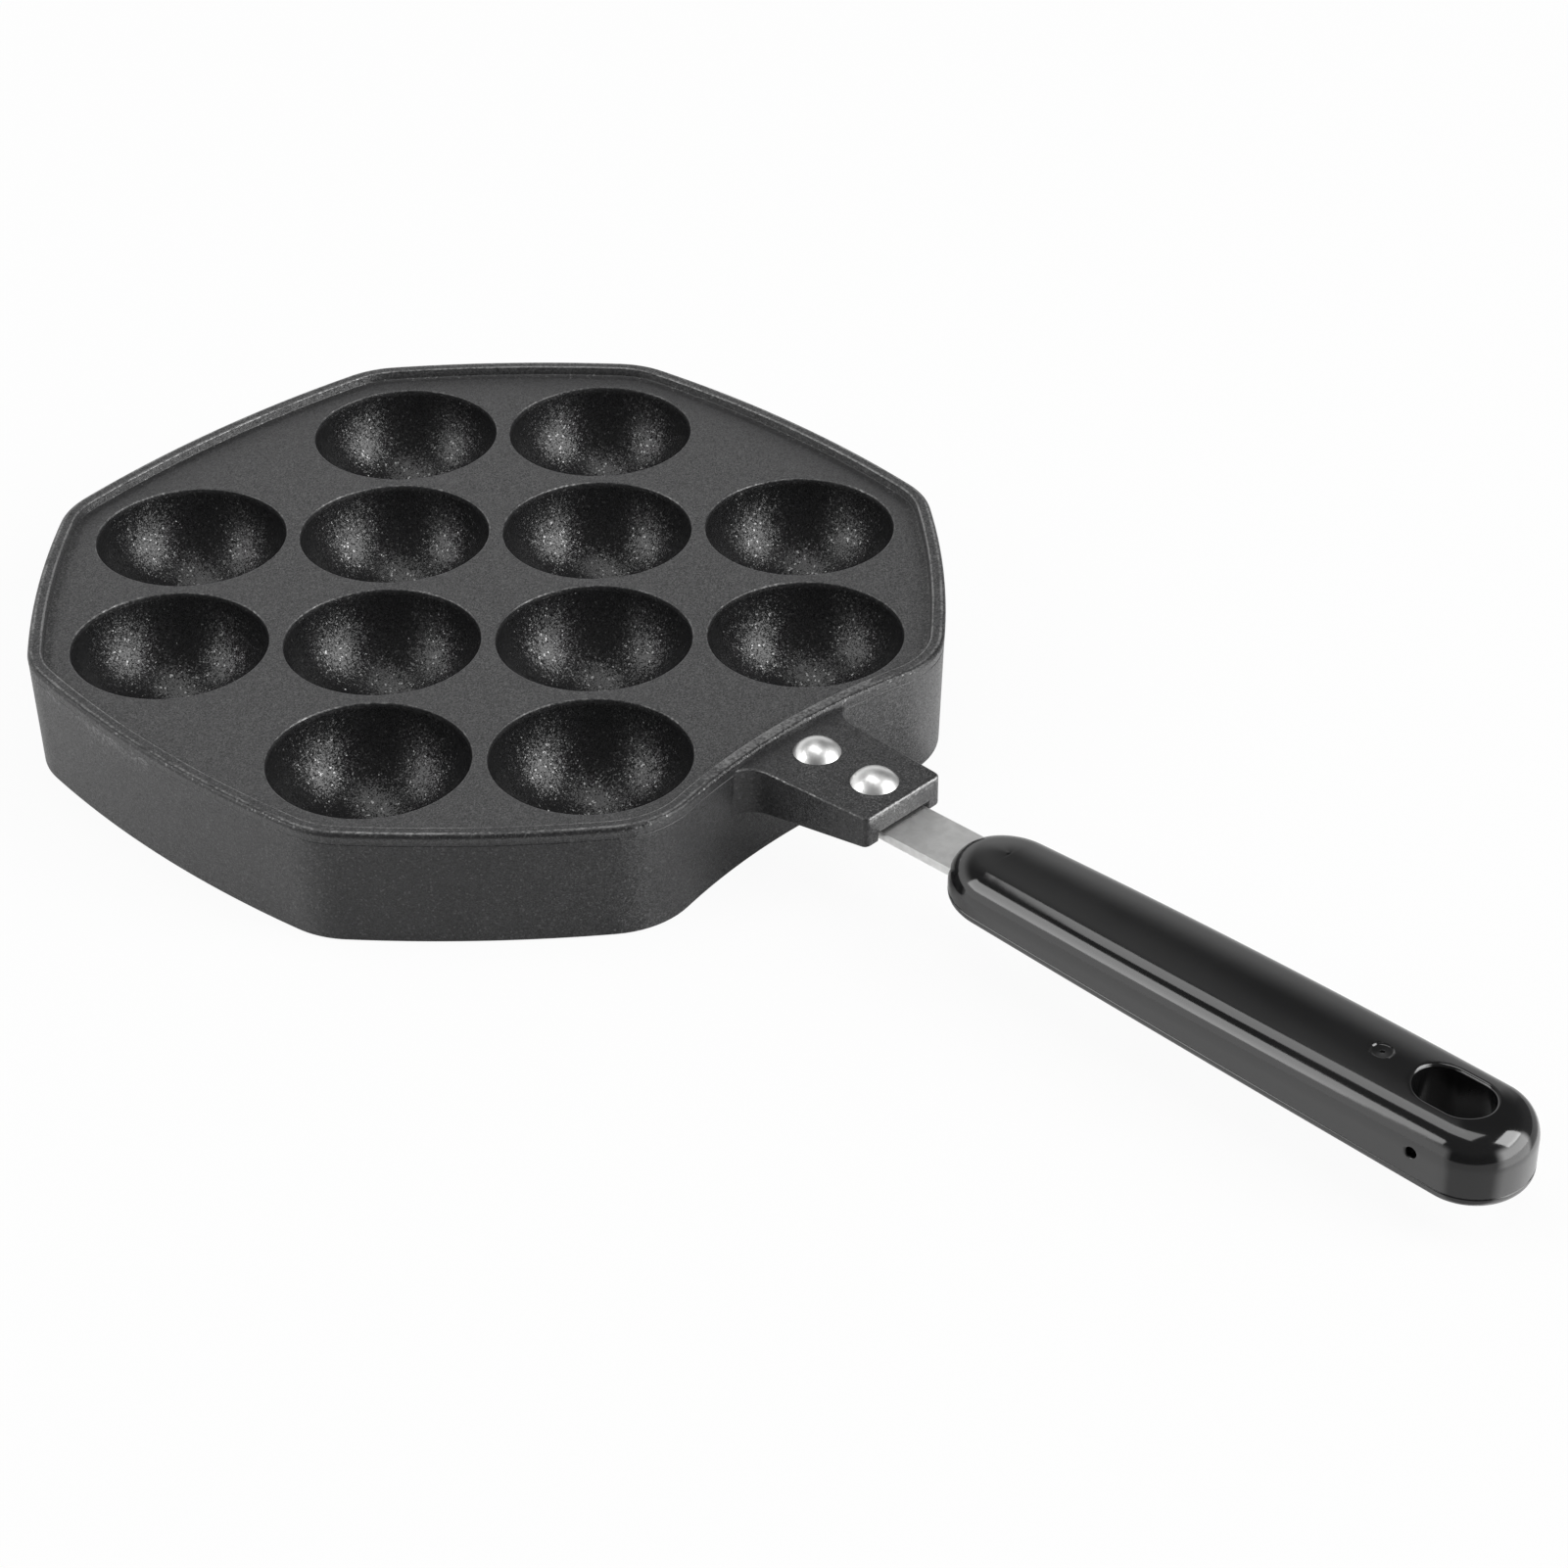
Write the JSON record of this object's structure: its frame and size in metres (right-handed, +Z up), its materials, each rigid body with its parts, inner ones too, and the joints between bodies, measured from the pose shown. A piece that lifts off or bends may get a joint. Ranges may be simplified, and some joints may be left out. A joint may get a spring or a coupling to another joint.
{
  "type": "takoyaki pan",
  "caption": "Stovetop takoyaki pan: dark speckled non-stick casting with round cups, riveted steel strap and glossy black moulded handle with a hanging hole.",
  "frame": {"origin": "middle of the whole object's footprint, on the plane that the pan stands on", "axes": "+X from the pan towards the end of its handle, +Z up out of the cups, +Y to the left of someone who looks along +X; the cup grid is turned 45 degrees to +X"},
  "size_m": [0.3566, 0.1854, 0.0271],
  "materials": {
    "coated_casting": "dark grey speckled non-stick coat, satin",
    "strap_steel": "plain rolled steel, satin",
    "rivet_metal": "polished",
    "grip_moulding": "glossy black thermoset moulding"
  },
  "bodies": {
    "root": {"pan_body": "coated_casting", "handle_strap": "strap_steel", "rivet_inner": "rivet_metal", "rivet_outer": "rivet_metal", "handle_grip": "grip_moulding"}
  },
  "joints": []
}
